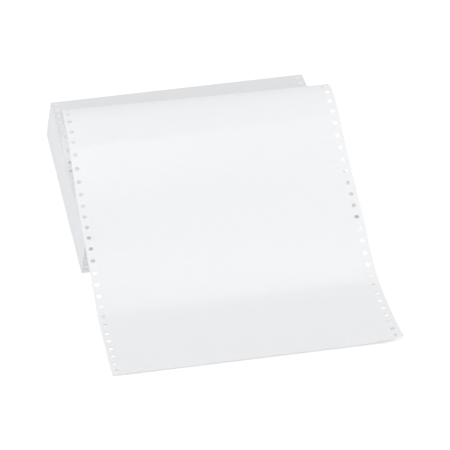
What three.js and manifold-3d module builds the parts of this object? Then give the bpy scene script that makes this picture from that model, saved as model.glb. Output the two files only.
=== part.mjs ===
// Fanfold continuous form paper: a low stack of joined forms, with the top two forms drawn off it.
// The second form leaves the stack, curls over above it and comes forward. The first form follows on,
// slopes down over the stack's front edge and ends flat on the table. It is all one strip of paper.
// Millimetres. X runs across the forms, Y from the front to the back of the stack, Z up.
import * as THREE from 'three';
import { mergeVertices } from 'three/addons/utils/BufferGeometryUtils.js';
import Module from 'manifold-3d';

// One form and its feed holes
const FORM_WIDTH = 241.3;
const HOLE_PITCH = 12.7;
const HOLES_PER_FORM = 22;
const HOLE_RADIUS = 2;
const HOLE_SIDES = 8;
const FORM_DEPTH = HOLES_PER_FORM * HOLE_PITCH;
const LEFT_INSET = 4.3;
const RIGHT_INSET = 5.3;

// The stack, a little lower where the drawn forms press on it, and leaning a little as it was pushed
const STACK_HEIGHT_BACK = 35.2;
const STACK_HEIGHT_FRONT = 32.1;
const LEAN_RIGHT = 5.9;
const LEAN_FORWARD = 3.6;
const PLEATS = 40;
const FOLD_DEPTH = 0.9;
const EDGE_DEPTH = 0.35;
const HOLE_EASE = 0.15;

// The drawn strip
const PAPER = 0.3;
const EMBEDDED = 0.1;
const PANEL_COLUMNS = 6;
const SIDE_DRIFT = 1.4;
const CORNER_LIFT = 3;
const CORNER_WIDTH = 40;
const CORNER_LENGTH = 60;

// Course of the strip: [distance from its front edge in hole pitches, slope at its left side, slope at its
// right side]. Slopes are in degrees, 0 for paper that runs level to the back, -180 for level to the front.
// Form 1 and form 2 meet at a perforation, where the slope changes at once.
const FRONT_RUN = [
  [0, 0, 0],
  [5, 0, 0],
  [7, 5, 2],
  [9.5, 20, 26],
  [12, 29, 29],
  [14.5, 18, 24],
  [17.5, 21, 27],
  [20, 43, 33],
  [HOLES_PER_FORM, 60, 37],
];
const CURL_RUN = [
  [HOLES_PER_FORM, 19, 28],
  [24, 20, 13],
  [26.5, -16, -26],
  [28, -46, -37],
  [29.5, -75, -72],
  [31, -115, -126],
  [32.5, -164, -168],
  [34, -180, -180],
  [2 * HOLES_PER_FORM, -180, -180],
];

const stackHeight = (y) => THREE.MathUtils.mapLinear(y, 0, FORM_DEPTH, STACK_HEIGHT_FRONT, STACK_HEIGHT_BACK);

const wasm = await Module();
wasm.setup();

// Solid of a closed three.js geometry
function solidOf(geometry) {
  geometry.deleteAttribute('normal');
  geometry.deleteAttribute('uv');
  const welded = mergeVertices(geometry, 1e-4);
  return new wasm.Manifold(new wasm.Mesh({
    numProp: 3,
    vertProperties: new Float32Array(welded.attributes.position.array),
    triVerts: new Uint32Array(welded.index.array),
  }));
}

// Slab seen from its end: both upright sides go in and out once for each pleat
function pleatedSlab(halfWidth, depth, length) {
  const outline = [];
  const step = STACK_HEIGHT_BACK / (2 * PLEATS);
  for (let i = 0; i <= 2 * PLEATS; i += 1) {
    outline.push(new THREE.Vector2(halfWidth - (i % 2 ? 0 : depth), i * step));
  }
  for (let i = 2 * PLEATS; i >= 0; i -= 1) {
    outline.push(new THREE.Vector2(-halfWidth + (i % 2 ? 0 : depth), i * step));
  }
  const slab = new THREE.ExtrudeGeometry(new THREE.Shape(outline), { depth: length, bevelEnabled: false });
  slab.translate(0, 0, -length / 2);
  slab.rotateX(Math.PI / 2);
  return slab;
}

// The folded forms, with folds at the front and back and cut edges at the left and right
function stackSolid() {
  const cuts = pleatedSlab(FORM_WIDTH / 2, EDGE_DEPTH, FORM_DEPTH + HOLE_PITCH);
  const folds = pleatedSlab(FORM_DEPTH / 2, FOLD_DEPTH, FORM_WIDTH + HOLE_PITCH);
  folds.rotateZ(Math.PI / 2);
  cuts.translate(FORM_WIDTH / 2, FORM_DEPTH / 2, 0);
  folds.translate(FORM_WIDTH / 2, FORM_DEPTH / 2, 0);
  return solidOf(cuts).intersect(solidOf(folds));
}

// One feed hole through every form of the stack, a little wider than in one form so that the faces are apart
function holeColumn(x, y) {
  const radius = HOLE_RADIUS + HOLE_EASE;
  const column = new THREE.CylinderGeometry(radius, radius, STACK_HEIGHT_BACK + 2, HOLE_SIDES);
  column.rotateX(Math.PI / 2);
  column.translate(x, y, STACK_HEIGHT_BACK / 2);
  return solidOf(column);
}

function allHoleColumns() {
  const columns = [];
  for (let i = 0; i < HOLES_PER_FORM; i += 1) {
    const y = (i + 0.5) * HOLE_PITCH;
    columns.push(holeColumn(LEFT_INSET, y), holeColumn(FORM_WIDTH - RIGHT_INSET, y));
  }
  return wasm.Manifold.union(columns);
}

// A stack point after the stack has been pressed down at the front and has leaned
function settle(point) {
  const z = point.z * stackHeight(point.y) / STACK_HEIGHT_BACK;
  const lean = z / STACK_HEIGHT_BACK;
  return new THREE.Vector3(point.x + LEAN_RIGHT * lean, point.y - LEAN_FORWARD * lean, z);
}

function slopeAt(run, side, distance) {
  const pitches = distance / HOLE_PITCH;
  let k = 1;
  while (k < run.length - 1 && pitches > run[k][0]) k += 1;
  const [from, to] = [run[k - 1], run[k]];
  return THREE.MathUtils.degToRad(
    THREE.MathUtils.mapLinear(pitches, from[0], to[0], from[1 + side], to[1 + side]));
}

// Side profile of the strip, followed from the fold at the stack's front edge to the strip's front edge
const STEPS_PER_PITCH = 8;
const STEP = HOLE_PITCH / STEPS_PER_PITCH;
const LAST_STEP = 2 * HOLES_PER_FORM * STEPS_PER_PITCH;

const frontFold = settle(new THREE.Vector3(0, 0, STACK_HEIGHT_BACK));

function followProfile(side, easing) {
  const tilt = Math.atan2(STACK_HEIGHT_BACK - STACK_HEIGHT_FRONT, FORM_DEPTH);
  const profile = [];
  let y = frontFold.y;
  let z = frontFold.z + PAPER / 2 - EMBEDDED;
  for (let i = LAST_STEP; i >= 0; i -= 1) {
    const here = i * STEP;
    const slope = (at) => (at < FORM_DEPTH
      ? easing * slopeAt(FRONT_RUN, side, at)
      : slopeAt(CURL_RUN, side, at) + tilt);
    profile[i] = { y, z, slope: slope(Math.min(here + 1e-6, LAST_STEP * STEP)) };
    const middle = slope(here - STEP / 2);
    y -= STEP * Math.cos(middle);
    z -= STEP * Math.sin(middle);
  }
  return profile;
}

// Eases the slopes of form 1 until its front edge comes to lie on the table
function landedProfile(side) {
  let [low, high] = [0.5, 1.5];
  for (let i = 0; i < 50; i += 1) {
    const easing = (low + high) / 2;
    const landing = followProfile(side, easing)[0].z;
    if (landing > PAPER / 2) low = easing;
    else high = easing;
  }
  return followProfile(side, low);
}

const profiles = [landedProfile(0), landedProfile(1)];

// Point of the strip at a distance across and along it, on its upper (1) or lower (-1) face
function stripPoint(across, along, face) {
  const share = across / FORM_WIDTH;
  const i = Math.min(Math.floor(along / STEP), LAST_STEP - 1);
  const part = along / STEP - i;
  const mixed = (key) => THREE.MathUtils.lerp(
    THREE.MathUtils.lerp(profiles[0][i][key], profiles[0][i + 1][key], part),
    THREE.MathUtils.lerp(profiles[1][i][key], profiles[1][i + 1][key], part), share);
  const corner = Math.max(0, 1 - (FORM_WIDTH - across) / CORNER_WIDTH) * Math.max(0, 1 - along / CORNER_LENGTH);
  const drift = frontFold.x - SIDE_DRIFT * (1 - along / (2 * FORM_DEPTH));
  const slope = mixed('slope');
  return new THREE.Vector3(
    across + drift,
    mixed('y') - face * Math.sin(slope) * PAPER / 2,
    mixed('z') + face * Math.cos(slope) * PAPER / 2 + CORNER_LIFT * corner * corner);
}

// Flat pattern of the strip: a tile with a hole in it for each pitch at both sides, and panel cells between
function stripPattern() {
  const points = [];
  const index = new Map();
  const triangles = [];
  const node = (x, s) => {
    const key = `${x.toFixed(3)} ${s.toFixed(3)}`;
    if (!index.has(key)) {
      index.set(key, points.length);
      points.push([x, s]);
    }
    return index.get(key);
  };
  const cell = (a, b, c, d) => triangles.push([a, b, c], [a, c, d]);
  const half = HOLE_PITCH / 2;
  for (let row = 0; row < 2 * HOLES_PER_FORM; row += 1) {
    const s = row * HOLE_PITCH;
    for (const [x, inset] of [[0, LEFT_INSET], [FORM_WIDTH - 2 * RIGHT_INSET, RIGHT_INSET]]) {
      const rim = [[0, 0], [1, 0], [2, 0], [2, 1], [2, 2], [1, 2], [0, 2], [0, 1]]
        .map(([i, j]) => node(x + i * inset, s + j * half));
      const hole = rim.map((_, k) => {
        const angle = (k - 3) * Math.PI / 4;
        return node(x + inset + HOLE_RADIUS * Math.cos(angle), s + half + HOLE_RADIUS * Math.sin(angle));
      });
      rim.forEach((_, k) => {
        const next = (k + 1) % rim.length;
        cell(rim[k], rim[next], hole[next], hole[k]);
      });
    }
    for (let column = 0; column < PANEL_COLUMNS; column += 1) {
      const width = (FORM_WIDTH - 2 * LEFT_INSET - 2 * RIGHT_INSET) / PANEL_COLUMNS;
      const x = 2 * LEFT_INSET + column * width;
      for (const base of [s, s + half]) {
        cell(node(x, base), node(x + width, base), node(x + width, base + half), node(x, base + half));
      }
    }
  }
  return { points, triangles };
}

// The strip as a closed body: upper face, lower face, and a wall along every free edge
function stripSolid() {
  const { points, triangles } = stripPattern();
  const count = points.length;
  const positions = [];
  for (const face of [1, -1]) {
    for (const [x, s] of points) positions.push(...stripPoint(x, s, face).toArray());
  }
  const indices = [];
  const edges = new Map();
  for (const [a, b, c] of triangles) {
    indices.push(a, b, c, count + a, count + c, count + b);
    for (const [from, to] of [[a, b], [b, c], [c, a]]) {
      if (!edges.delete(`${to} ${from}`)) edges.set(`${from} ${to}`, [from, to]);
    }
  }
  for (const [from, to] of edges.values()) {
    indices.push(from, count + from, count + to, from, count + to, to);
  }
  return new wasm.Manifold(new wasm.Mesh({
    numProp: 3,
    vertProperties: new Float32Array(positions),
    triVerts: new Uint32Array(indices),
  }));
}

// Stack and strip joined where the second form lies on the pile
function webGeometry() {
  const stack = stackSolid().subtract(allHoleColumns()).getMesh();
  const points = stack.vertProperties;
  for (let i = 0; i < points.length; i += 3) {
    points.set(settle(new THREE.Vector3().fromArray(points, i)).toArray(), i);
  }
  const settled = new wasm.Manifold(new wasm.Mesh({ numProp: 3, vertProperties: points, triVerts: stack.triVerts }));
  const mesh = settled.add(stripSolid()).getMesh();
  const geometry = new THREE.BufferGeometry();
  geometry.setAttribute('position', new THREE.Float32BufferAttribute(mesh.vertProperties, 3));
  geometry.setIndex(new THREE.BufferAttribute(new Uint32Array(mesh.triVerts), 1));
  geometry.computeBoundingBox();
  const box = geometry.boundingBox;
  geometry.translate(-(box.min.x + box.max.x) / 2, -(box.min.y + box.max.y) / 2, -box.min.z);
  geometry.computeVertexNormals();
  return geometry;
}

const paper = new THREE.MeshStandardMaterial({ color: 0xeff0f2, roughness: 0.85, metalness: 0 });

const web = new THREE.Mesh(webGeometry(), paper);
web.name = 'fanfold_web';

const group = new THREE.Group();
group.add(web);

export default group;
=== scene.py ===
import math
import random

import bpy
from mathutils import Matrix, Vector
from mathutils.noise import noise


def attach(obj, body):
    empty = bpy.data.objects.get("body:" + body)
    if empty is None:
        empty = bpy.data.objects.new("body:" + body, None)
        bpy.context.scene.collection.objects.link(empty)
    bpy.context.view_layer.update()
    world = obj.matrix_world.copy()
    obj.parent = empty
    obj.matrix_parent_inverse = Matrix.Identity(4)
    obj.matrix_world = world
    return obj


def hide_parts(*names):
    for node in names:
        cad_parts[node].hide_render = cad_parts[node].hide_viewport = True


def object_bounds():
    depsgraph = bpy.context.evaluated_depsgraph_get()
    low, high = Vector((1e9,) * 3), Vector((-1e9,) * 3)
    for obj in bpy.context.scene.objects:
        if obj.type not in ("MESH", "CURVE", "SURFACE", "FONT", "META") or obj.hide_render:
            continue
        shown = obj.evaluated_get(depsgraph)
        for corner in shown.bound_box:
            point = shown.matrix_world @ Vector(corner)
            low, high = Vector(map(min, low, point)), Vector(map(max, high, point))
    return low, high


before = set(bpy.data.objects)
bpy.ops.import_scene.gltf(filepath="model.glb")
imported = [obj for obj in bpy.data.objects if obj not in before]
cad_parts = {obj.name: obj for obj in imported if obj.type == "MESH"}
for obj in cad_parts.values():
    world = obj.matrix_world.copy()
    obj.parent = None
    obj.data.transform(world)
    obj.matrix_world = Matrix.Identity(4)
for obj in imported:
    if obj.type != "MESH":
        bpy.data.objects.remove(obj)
cad_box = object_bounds()

# Fanfold continuous form paper. Values are in metres, as in the frame.
MM = 0.001

# One form and its feed holes
FORM_WIDTH = 241.3 * MM
HOLE_PITCH = 12.7 * MM
HOLES_PER_FORM = 22
HOLE_RADIUS = 2.0 * MM
FORM_DEPTH = HOLES_PER_FORM * HOLE_PITCH
LEFT_INSET = 4.3 * MM
RIGHT_INSET = 5.3 * MM
STRIP_LENGTH = 2 * FORM_DEPTH
PANEL_WIDTH = FORM_WIDTH - 2 * LEFT_INSET - 2 * RIGHT_INSET
HOLE_BANDS = ((0.0, LEFT_INSET), (FORM_WIDTH - 2 * RIGHT_INSET, RIGHT_INSET))

# The stack
STACK_HEIGHT_BACK = 35.2 * MM
STACK_HEIGHT_FRONT = 32.1 * MM
LEAN_RIGHT = 5.9 * MM
LEAN_FORWARD = 3.6 * MM
LEAVES = 172
LEAF_STRAY = 0.22 * MM
WANDER_KEPT = 0.93
SIDE_GROOVE = 0.08 * MM
FOLD_SLIT = 1.1 * MM
FOLD_ROUNDING = 0.1 * MM
TOP_SIDE_INSET = 0.1 * MM
TOP_END_INSET = 0.5 * MM
HOLE_EASE = 0.15 * MM
HOLE_WALL_STEPS = 14
HOLE_WALL_SWAY = 0.12 * MM
HOLE_SIDES = 16
STACK_COLUMNS = 8

# The drawn strip
PAPER = 0.12 * MM
LIES_ON_STACK = 0.08 * MM
SIDE_DRIFT = 1.4 * MM
CORNER_LIFT = 3.0 * MM
CORNER_WIDTH = 40.0 * MM
CORNER_LENGTH = 60.0 * MM
LIP_LIFT = 0.9 * MM
LIP_LENGTH = 30.0 * MM
COCKLE = 0.5 * MM
COCKLE_LENGTH = 55.0 * MM
COCKLE_WIDTH = 170.0 * MM
FINE_COCKLE = 2.3
COCKLE_ENDS = (400.0 * MM, 450.0 * MM)
STRIP_COLUMNS = 30
TILE_PARTS = 4
STEPS_PER_PITCH = 16
STEP = HOLE_PITCH / STEPS_PER_PITCH
LAST_STEP = 2 * HOLES_PER_FORM * STEPS_PER_PITCH

# Course of the strip: distance from its front edge in hole pitches,
# then its slope in degrees at the left side and at the right side
FRONT_RUN = [
    (0, 0, 0),
    (5, 0, 0),
    (7, 5, 2),
    (9.5, 20, 26),
    (12, 29, 29),
    (14.5, 18, 24),
    (17.5, 21, 27),
    (20, 43, 33),
    (HOLES_PER_FORM, 60, 37),
]
CURL_RUN = [
    (HOLES_PER_FORM, 19, 28),
    (24, 20, 13),
    (26.5, -16, -26),
    (28, -46, -37),
    (29.5, -75, -72),
    (31, -115, -126),
    (32.5, -164, -168),
    (34, -180, -180),
    (2 * HOLES_PER_FORM, -180, -180),
]

# Where the stack's front left corner stands in the frame
STACK_X = cad_box[0].x
STACK_Y = cad_box[1].y - FORM_DEPTH

# The camera, in the frame
LENS = 227.69
CAMERA_PLACE = (STACK_X - 0.1726, STACK_Y - 2.1551, 1.1809)
CAMERA_AZIMUTH = -7.925
CAMERA_ELEVATION = 27.870
CAMERA_ROLL = -3.060

# Studio light: white surroundings and a wide lamp in front, on the left
WORLD_COLOUR = (0.985, 0.99, 1.0, 1)
WORLD_LEVEL = 0.815
KEY_LEVEL = 0.62
KEY_ANGLE = 50
TOWARD_KEY = (-0.30, -0.81, 0.50)
FLOOR_COLOUR = (0.88, 0.88, 0.88, 1)
FLOOR_GLOW = 0.32
FLOOR_HALF = 6.0
FLOOR_DROP = 0.05 * MM

# Light that comes through the sheet: hole number from which a level holds, and the level
LIGHT_THROUGH = ((8, 0.7), (15, 0.35), (19, 0.16), (23, 0.08))
LAST_LAMP = 31
LAMP_WIDTH = 0.9 * FORM_WIDTH
LAMP_DEPTH = 2.5 * MM
# Painted light: the stack's hole walls glow at this level, standing in for the light that comes through
# the leaves into the stack's holes
LIGHT_IN_HOLES = 0.1

# Paper
SHEET_COLOUR = (0.92, 0.925, 0.935)
# Painted shade: the stack's top and bottom faces are darker than the sheet, standing in for the shade
# behind the curl and the light falling off toward the back
PAGE_PAINTED_SHADE_COLOUR = (0.835, 0.84, 0.85)
EDGE_COLOUR = (0.91, 0.915, 0.925)
GRAIN = 0.35

random.seed(11)


# Shared helpers

def mix(a, b, share):
    return a + (b - a) * share


def smooth(value, low, high):
    t = min(1.0, max(0.0, (value - low) / (high - low)))
    return t * t * (3 - 2 * t)


def boundary_edges(faces):
    """The edges that only one face has, in that face's direction."""
    edges = {}
    for face in faces:
        for a, b in zip(face, face[1:] + face[:1]):
            if (b, a) in edges:
                del edges[(b, a)]
            else:
                edges[(a, b)] = True
    return list(edges)


def new_mesh(name, points, faces, sharp_faces):
    """A smooth mesh object whose listed faces are flat and have sharp edges."""
    mesh = bpy.data.meshes.new(name)
    mesh.from_pydata(points, [], faces)
    mesh.update()
    sharp = set(sharp_faces)
    edges = set()
    for polygon in mesh.polygons:
        polygon.use_smooth = polygon.index not in sharp
        if polygon.index in sharp:
            edges.update(tuple(sorted(key)) for key in polygon.edge_keys)
    for edge in mesh.edges:
        if tuple(sorted(edge.vertices)) in edges:
            edge.use_edge_sharp = True
    obj = bpy.data.objects.new(name, mesh)
    bpy.context.scene.collection.objects.link(obj)
    return obj


# The stack

def stack_height(y):
    return mix(STACK_HEIGHT_FRONT, STACK_HEIGHT_BACK, y / FORM_DEPTH)


def settle(x, y, share):
    """A stack point at a share of the height, after the stack was pressed down in front and leaned."""
    z = stack_height(y) * share
    lean = z / STACK_HEIGHT_BACK
    return (STACK_X + x + LEAN_RIGHT * lean, STACK_Y + y - LEAN_FORWARD * lean, z)


def stray_walk(count, amount):
    """Sideways strays of the leaves: a slow wander of the pile with a small jump at each leaf."""
    wander = 0.0
    strays = []
    for _ in range(count):
        wander = WANDER_KEPT * wander + random.uniform(-0.5, 0.5) * amount
        strays.append(wander + random.uniform(-0.5, 0.5) * amount)
    return strays


class FlatPattern:
    """Nodes and faces of a flat form. Nodes at the same place are one."""

    def __init__(self):
        self.nodes, self.index, self.faces = [], {}, []

    def node(self, x, y):
        key = (round(x * 1e7), round(y * 1e7))
        if key not in self.index:
            self.index[key] = len(self.nodes)
            self.nodes.append((x, y))
        return self.index[key]

    def circle(self, x, y, radius):
        """A ring of nodes, the first one toward the lower left corner."""
        ring = []
        for k in range(HOLE_SIDES):
            angle = math.radians(360 / HOLE_SIDES * (k - 6))
            ring.append(self.node(x + radius * math.cos(angle), y + radius * math.sin(angle)))
        return ring

    def cell(self, x, y, width, depth):
        self.faces.append((self.node(x, y), self.node(x + width, y),
                           self.node(x + width, y + depth), self.node(x, y + depth)))


def stack_pattern():
    """Top face of the stack: hole tiles at both sides and panel cells between, with the holes' rims."""
    pattern, rims = FlatPattern(), []
    half = HOLE_PITCH / 2
    square = [(0, 0), (1, 0), (2, 0), (2, 1), (2, 2), (1, 2), (0, 2), (0, 1)]
    width = PANEL_WIDTH / STACK_COLUMNS
    for row in range(HOLES_PER_FORM):
        y = row * HOLE_PITCH
        for x, inset in HOLE_BANDS:
            rim = [pattern.node(x + i * inset, y + j * half) for i, j in square]
            hole = pattern.circle(x + inset, y + half, HOLE_RADIUS + HOLE_EASE)
            for k in range(len(rim)):
                after = (k + 1) % len(rim)
                pattern.faces.append((rim[k], rim[after], hole[(2 * k + 2) % HOLE_SIDES], hole[2 * k + 1]))
                pattern.faces.append((rim[k], hole[2 * k + 1], hole[2 * k]))
            rims.append(hole)
        for column in range(STACK_COLUMNS):
            for base in (y, y + half):
                pattern.cell(2 * LEFT_INSET + column * width, base, width, half)
    return pattern.nodes, pattern.faces, rims


def outline_of(faces):
    """The outer boundary of a face list, as a loop of node numbers in order."""
    follow = dict(boundary_edges(faces))
    loops = []
    while follow:
        start, here = next(iter(follow.items()))
        loop = [start]
        del follow[start]
        while here != start:
            loop.append(here)
            here = follow.pop(here)
        loops.append(loop)
    return max(loops, key=len)


def leaf_levels():
    """Levels of the stack's walls: (share of the height, insets at left, right, front and back)."""
    side = stray_walk(LEAVES, LEAF_STRAY)
    end = stray_walk(LEAVES, LEAF_STRAY)
    levels = []
    for leaf in range(LEAVES):
        low = leaf / LEAVES
        middle = (leaf + 0.5) / LEAVES
        groove = SIDE_GROOVE * random.uniform(0.4, 1.3)
        slit = FOLD_SLIT * random.uniform(0.7, 1.3)
        front_open = leaf % 2 == 0
        levels.append((low, groove + side[leaf], groove - side[leaf],
                       end[leaf] + (slit if front_open else 0.0),
                       -end[leaf] + (0.0 if front_open else slit)))
        levels.append((middle, side[leaf], -side[leaf],
                       end[leaf] + FOLD_ROUNDING, -end[leaf] + FOLD_ROUNDING))
    levels.append((1.0, TOP_SIDE_INSET, TOP_SIDE_INSET, TOP_END_INSET, TOP_END_INSET))
    return levels


def make_stack():
    nodes, cells, rims = stack_pattern()
    outline = outline_of(cells)
    levels = leaf_levels()
    points, faces, flat = [], [], []

    def inset(x, y, level):
        """Moves a node of the outline inward by its side's inset."""
        _, left, right, front, back = level
        if x < 1e-6:
            x += left
        if x > FORM_WIDTH - 1e-6:
            x -= right
        if y < 1e-6:
            y += front
        if y > FORM_DEPTH - 1e-6:
            y -= back
        return x, y

    def add_layer(level, numbers):
        first = len(points)
        for number in numbers:
            x, y = inset(*nodes[number], level)
            points.append(settle(x, y, level[0]))
        return first

    everything = range(len(nodes))
    bottom = add_layer(levels[0], everything)
    top = add_layer(levels[-1], everything)
    for face in cells:
        faces.append(tuple(top + n for n in face))
        faces.append(tuple(bottom + n for n in reversed(face)))
    flat += range(len(faces))

    rings = [[bottom + n for n in outline]]
    for level in levels[1:-1]:
        first = add_layer(level, outline)
        rings.append(list(range(first, first + len(outline))))
    rings.append([top + n for n in outline])
    for below, above in zip(rings, rings[1:]):
        for k in range(len(outline)):
            after = (k + 1) % len(outline)
            flat.append(len(faces))
            faces.append((below[k], below[after], above[after], above[k]))

    first_hole_wall = len(faces)
    for hole in rims:
        walls = [[bottom + n for n in hole]]
        for step in range(1, HOLE_WALL_STEPS):
            sway = Vector((random.uniform(-1, 1), random.uniform(-1, 1))) * HOLE_WALL_SWAY
            first = len(points)
            for number in hole:
                x, y = nodes[number]
                points.append(settle(x + sway.x, y + sway.y, step / HOLE_WALL_STEPS))
            walls.append(list(range(first, first + len(hole))))
        walls.append([top + n for n in hole])
        for below, above in zip(walls, walls[1:]):
            for k in range(len(hole)):
                after = (k + 1) % len(hole)
                faces.append((below[after], below[k], above[k], above[after]))
    stack = new_mesh("folded_forms", points, faces, flat)
    # The top and bottom faces take the darker page paper, which is painted shade
    for number in range(2 * len(cells)):
        stack.data.polygons[number].material_index = 1
    # The hole walls take the glowing paper, which is painted light
    for number in range(first_hole_wall, len(faces)):
        stack.data.polygons[number].material_index = 2
    return stack


# The drawn strip

def slope_at(run, side, distance):
    """Slope at a distance from the strip's front edge, straight between the listed places."""
    k = 1
    pitches = distance / HOLE_PITCH
    while k < len(run) - 1 and pitches > run[k][0]:
        k += 1
    before, after = run[k - 1], run[k]
    share = (pitches - before[0]) / (after[0] - before[0])
    return math.radians(mix(before[1 + side], after[1 + side], share))


FRONT_FOLD = settle(0.0, 0.0, 1.0)


def follow_profile(side, easing):
    """Side profile of the strip, from the fold at the stack's front edge to the strip's own front edge."""
    tilt = math.atan2(STACK_HEIGHT_BACK - STACK_HEIGHT_FRONT, FORM_DEPTH)
    _, y, z = FRONT_FOLD
    z += LIES_ON_STACK

    def slope(distance):
        if distance < FORM_DEPTH:
            return easing * slope_at(FRONT_RUN, side, distance)
        return slope_at(CURL_RUN, side, distance) + tilt

    profile = [None] * (LAST_STEP + 1)
    for i in range(LAST_STEP, -1, -1):
        profile[i] = (y, z, slope(min(i * STEP + 1e-9, STRIP_LENGTH)))
        middle = slope(i * STEP - STEP / 2)
        y -= STEP * math.cos(middle)
        z -= STEP * math.sin(middle)
    return profile


def landed_profile(side):
    """Eases the slopes of form 1 until its front edge comes to lie on the floor."""
    low, high = 0.5, 1.5
    for _ in range(40):
        easing = (low + high) / 2
        if follow_profile(side, easing)[0][1] > PAPER / 2:
            low = easing
        else:
            high = easing
    return follow_profile(side, low)


def cockle(across, along):
    """The small waves of a large sheet of paper that lies free, none where it is pressed flat."""
    wave = noise(Vector((across / COCKLE_WIDTH, along / COCKLE_LENGTH, 3.7)))
    fine = noise(Vector((across / COCKLE_WIDTH * FINE_COCKLE, along / COCKLE_LENGTH * FINE_COCKLE, 9.1)))
    free = 1 - smooth(along, *COCKLE_ENDS)
    return COCKLE * free * (0.6 + wave + 0.35 * fine)


def strip_point(profiles, across, along, face):
    """Place of a point of the strip in the frame. The face is 1 on the outside and -1 on the inside."""
    share = across / FORM_WIDTH
    i = min(int(along / STEP), LAST_STEP - 1)
    part = along / STEP - i
    y, z, slope = (mix(mix(profiles[0][i][k], profiles[0][i + 1][k], part),
                       mix(profiles[1][i][k], profiles[1][i + 1][k], part), share) for k in range(3))
    corner = max(0.0, 1 - (FORM_WIDTH - across) / CORNER_WIDTH) * max(0.0, 1 - along / CORNER_LENGTH)
    lip = max(0.0, 1 - along / LIP_LENGTH)
    drift = -SIDE_DRIFT * (1 - along / STRIP_LENGTH)
    rise = face * PAPER / 2 + cockle(across, along)
    return (FRONT_FOLD[0] + across + drift,
            y - rise * math.sin(slope),
            z + rise * math.cos(slope) + CORNER_LIFT * corner * corner + LIP_LIFT * lip * lip)


def strip_pattern():
    """Flat pattern of the strip, with a round hole in each margin tile."""
    pattern = FlatPattern()
    parts = TILE_PARTS
    part = HOLE_PITCH / parts
    square = ([(i, 0) for i in range(parts)] + [(parts, j) for j in range(parts)]
              + [(parts - i, parts) for i in range(parts)] + [(0, parts - j) for j in range(parts)])
    width = PANEL_WIDTH / STRIP_COLUMNS
    for row in range(2 * HOLES_PER_FORM):
        s = row * HOLE_PITCH
        for x, inset in HOLE_BANDS:
            rim = [pattern.node(x + 2 * inset * i / parts, s + j * part) for i, j in square]
            hole = pattern.circle(x + inset, s + HOLE_PITCH / 2, HOLE_RADIUS)
            for k in range(HOLE_SIDES):
                after = (k + 1) % HOLE_SIDES
                pattern.faces.append((rim[k], rim[after], hole[after], hole[k]))
        for column in range(STRIP_COLUMNS):
            for j in range(parts):
                pattern.cell(2 * LEFT_INSET + column * width, s + j * part, width, part)
    return pattern.nodes, pattern.faces


def make_strip():
    profiles = (landed_profile(0), landed_profile(1))
    nodes, cells = strip_pattern()
    points = [strip_point(profiles, x, s, 1) for x, s in nodes]
    points += [strip_point(profiles, x, s, -1) for x, s in nodes]
    count = len(nodes)
    faces = list(cells)
    faces += [tuple(count + n for n in reversed(face)) for face in cells]
    first_wall = len(faces)
    faces += [(b, a, count + a, count + b) for a, b in boundary_edges(cells)]
    return new_mesh("drawn_forms", points, faces, range(first_wall, len(faces)))


# Materials

def paper_material(name, colour, edges=False, seen_through=0.0, glow=0.0):
    """Uncoated bond: faint clouds, fibre grain in the bump, and fine lines on cut or folded edges."""
    material = bpy.data.materials.new(name)
    material.use_nodes = True
    nodes, links = material.node_tree.nodes, material.node_tree.links
    surface = nodes["Principled BSDF"]
    surface.inputs["Roughness"].default_value = 0.85
    surface.inputs["Specular IOR Level"].default_value = 0.25
    surface.inputs["Subsurface Weight"].default_value = seen_through
    surface.inputs["Subsurface Radius"].default_value = (1.0, 1.0, 1.0)
    surface.inputs["Subsurface Scale"].default_value = 0.08 * MM
    # A glow above zero is painted light: the paper itself emits, with no lamp
    surface.inputs["Emission Color"].default_value = (1, 1, 1, 1)
    surface.inputs["Emission Strength"].default_value = glow
    place = nodes.new("ShaderNodeTexCoord")

    cloud = nodes.new("ShaderNodeTexNoise")
    cloud.inputs["Scale"].default_value = 260.0
    cloud.inputs["Detail"].default_value = 6.0
    links.new(place.outputs["Object"], cloud.inputs["Vector"])
    tint = nodes.new("ShaderNodeMapRange")
    tint.inputs["To Min"].default_value = 0.975
    tint.inputs["To Max"].default_value = 1.012
    links.new(cloud.outputs["Fac"], tint.inputs["Value"])
    shade = nodes.new("ShaderNodeVectorMath")
    shade.operation = "SCALE"
    shade.inputs[0].default_value = colour
    links.new(tint.outputs["Result"], shade.inputs["Scale"])
    links.new(shade.outputs["Vector"], surface.inputs["Base Color"])

    fibres = nodes.new("ShaderNodeTexNoise")
    fibres.inputs["Scale"].default_value = 2600.0
    fibres.inputs["Detail"].default_value = 8.0
    fibres.inputs["Roughness"].default_value = 0.65
    links.new(place.outputs["Object"], fibres.inputs["Vector"])
    bump = nodes.new("ShaderNodeBump")
    bump.inputs["Strength"].default_value = GRAIN
    bump.inputs["Distance"].default_value = 0.04 * MM
    links.new(fibres.outputs["Fac"], bump.inputs["Height"])
    links.new(bump.outputs["Normal"], surface.inputs["Normal"])

    if edges:
        stretch = nodes.new("ShaderNodeMapping")
        stretch.inputs["Scale"].default_value = (30.0, 30.0, 5200.0)
        links.new(place.outputs["Object"], stretch.inputs["Vector"])
        lines = nodes.new("ShaderNodeTexNoise")
        lines.inputs["Scale"].default_value = 1.0
        lines.inputs["Detail"].default_value = 3.0
        links.new(stretch.outputs["Vector"], lines.inputs["Vector"])
        depth = nodes.new("ShaderNodeMapRange")
        depth.inputs["From Min"].default_value = 0.3
        depth.inputs["From Max"].default_value = 0.7
        depth.inputs["To Min"].default_value = 0.95
        depth.inputs["To Max"].default_value = 1.03
        links.new(lines.outputs["Fac"], depth.inputs["Value"])
        product = nodes.new("ShaderNodeMath")
        product.operation = "MULTIPLY"
        links.new(tint.outputs["Result"], product.inputs[0])
        links.new(depth.outputs["Result"], product.inputs[1])
        links.new(product.outputs["Value"], shade.inputs["Scale"])
    return material


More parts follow.
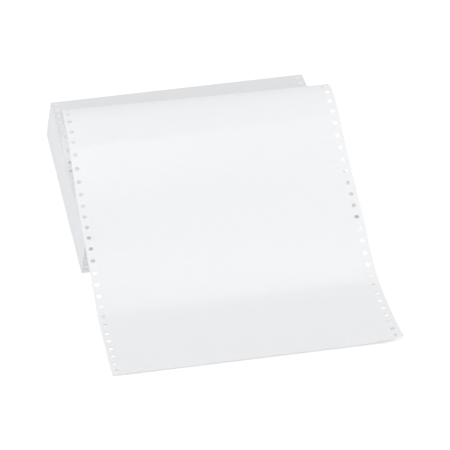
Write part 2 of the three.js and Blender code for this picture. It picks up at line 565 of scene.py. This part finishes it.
def floor_material():
    """A white floor that shows plain white to the eye and still takes the object's shadow."""
    material = bpy.data.materials.new("floor")
    material.use_nodes = True
    nodes, links = material.node_tree.nodes, material.node_tree.links
    surface = nodes["Principled BSDF"]
    surface.inputs["Base Color"].default_value = FLOOR_COLOUR
    surface.inputs["Roughness"].default_value = 1.0
    surface.inputs["Specular IOR Level"].default_value = 0.0
    path = nodes.new("ShaderNodeLightPath")
    glow = nodes.new("ShaderNodeMath")
    glow.operation = "MULTIPLY"
    glow.inputs[1].default_value = FLOOR_GLOW
    links.new(path.outputs["Is Camera Ray"], glow.inputs[0])
    surface.inputs["Emission Color"].default_value = (1, 1, 1, 1)
    links.new(glow.outputs["Value"], surface.inputs["Emission Strength"])
    return material


# Light, floor and camera

def make_world():
    """Soft light from everywhere, and plain white where the eye or a reflection sees the background."""
    world = bpy.data.worlds.new("studio")
    bpy.context.scene.world = world
    world.use_nodes = True
    nodes, links = world.node_tree.nodes, world.node_tree.links
    light = nodes["Background"]
    light.inputs["Color"].default_value = WORLD_COLOUR
    light.inputs["Strength"].default_value = WORLD_LEVEL
    white = nodes.new("ShaderNodeBackground")
    white.inputs["Color"].default_value = (1, 1, 1, 1)
    white.inputs["Strength"].default_value = 1.0
    path = nodes.new("ShaderNodeLightPath")
    seen = nodes.new("ShaderNodeMath")
    seen.operation = "MAXIMUM"
    links.new(path.outputs["Is Camera Ray"], seen.inputs[0])
    links.new(path.outputs["Is Glossy Ray"], seen.inputs[1])
    choice = nodes.new("ShaderNodeMixShader")
    links.new(seen.outputs["Value"], choice.inputs["Fac"])
    links.new(light.outputs["Background"], choice.inputs[1])
    links.new(white.outputs["Background"], choice.inputs[2])
    links.new(choice.outputs["Shader"], nodes["World Output"].inputs["Surface"])


def make_key_light():
    data = bpy.data.lights.new("key", "SUN")
    data.energy = KEY_LEVEL
    data.angle = math.radians(KEY_ANGLE)
    key = bpy.data.objects.new("key", data)
    key.rotation_mode = "QUATERNION"
    key.rotation_quaternion = Vector(TOWARD_KEY).to_track_quat("Z", "Y")
    bpy.context.scene.collection.objects.link(key)


def make_light_through_paper():
    """Wide lamps close under the strip, for the light that thin paper lets into the space below it."""
    profiles = (landed_profile(0), landed_profile(1))
    for number in range(LIGHT_THROUGH[0][0], LAST_LAMP + 1):
        data = bpy.data.lights.new(f"through_paper_{number}", "AREA")
        data.shape = "RECTANGLE"
        data.size = LAMP_WIDTH
        data.size_y = HOLE_PITCH
        level = [light for first, light in LIGHT_THROUGH if number >= first][-1]
        data.energy = level * math.pi * data.size * data.size_y
        lamp = bpy.data.objects.new(data.name, data)
        along = (number + 0.5) * HOLE_PITCH
        here = Vector(strip_point(profiles, FORM_WIDTH / 2, along, -1))
        ahead = Vector(strip_point(profiles, FORM_WIDTH / 2, along + 1 * MM, -1))
        across = Vector(strip_point(profiles, FORM_WIDTH / 2 + 1 * MM, along, -1))
        out = (across - here).cross(ahead - here).normalized()
        lamp.rotation_mode = "QUATERNION"
        lamp.rotation_quaternion = out.to_track_quat("Z", "Y")
        lamp.location = here - out * LAMP_DEPTH
        lamp.visible_camera = False
        lamp.visible_glossy = False
        bpy.context.scene.collection.objects.link(lamp)


def make_floor():
    half = FLOOR_HALF
    mesh = bpy.data.meshes.new("floor")
    mesh.from_pydata([(-half, -half, 0), (half, -half, 0), (half, half, 0), (-half, half, 0)], [],
                     [(0, 1, 2, 3)])
    floor = bpy.data.objects.new("floor", mesh)
    floor.location.z = -FLOOR_DROP
    floor.data.materials.append(floor_material())
    bpy.context.scene.collection.objects.link(floor)


def make_camera():
    data = bpy.data.cameras.new("camera")
    data.lens = LENS
    data.sensor_width = 36.0
    data.clip_end = 50.0
    camera = bpy.data.objects.new("camera", data)
    azimuth, elevation = math.radians(CAMERA_AZIMUTH), math.radians(CAMERA_ELEVATION)
    back = Vector((math.sin(azimuth) * math.cos(elevation),
                   -math.cos(azimuth) * math.cos(elevation), math.sin(elevation)))
    turn = back.to_track_quat("Z", "Y").to_matrix() @ Matrix.Rotation(math.radians(CAMERA_ROLL), 3, "Z")
    camera.matrix_world = Matrix.Translation(CAMERA_PLACE) @ turn.to_4x4()
    bpy.context.scene.collection.objects.link(camera)
    bpy.context.scene.camera = camera


scene = bpy.context.scene
scene.view_settings.view_transform = "Standard"
make_camera()
make_world()
make_key_light()
make_light_through_paper()
make_floor()

sheet_paper = paper_material("bond_sheet", SHEET_COLOUR, seen_through=0.6)
page_paper_painted_shade = paper_material("bond_page_painted_shade", PAGE_PAINTED_SHADE_COLOUR)
edge_paper = paper_material("bond_edges", EDGE_COLOUR, edges=True)
hole_paper_painted_glow = paper_material("bond_holes_painted_glow", EDGE_COLOUR, glow=LIGHT_IN_HOLES)

stack = make_stack()
for paper in (edge_paper, page_paper_painted_shade, hole_paper_painted_glow):
    stack.data.materials.append(paper)
strip = make_strip()
strip.data.materials.append(sheet_paper)
for piece in (stack, strip):
    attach(piece, "root")
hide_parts("fanfold_web")
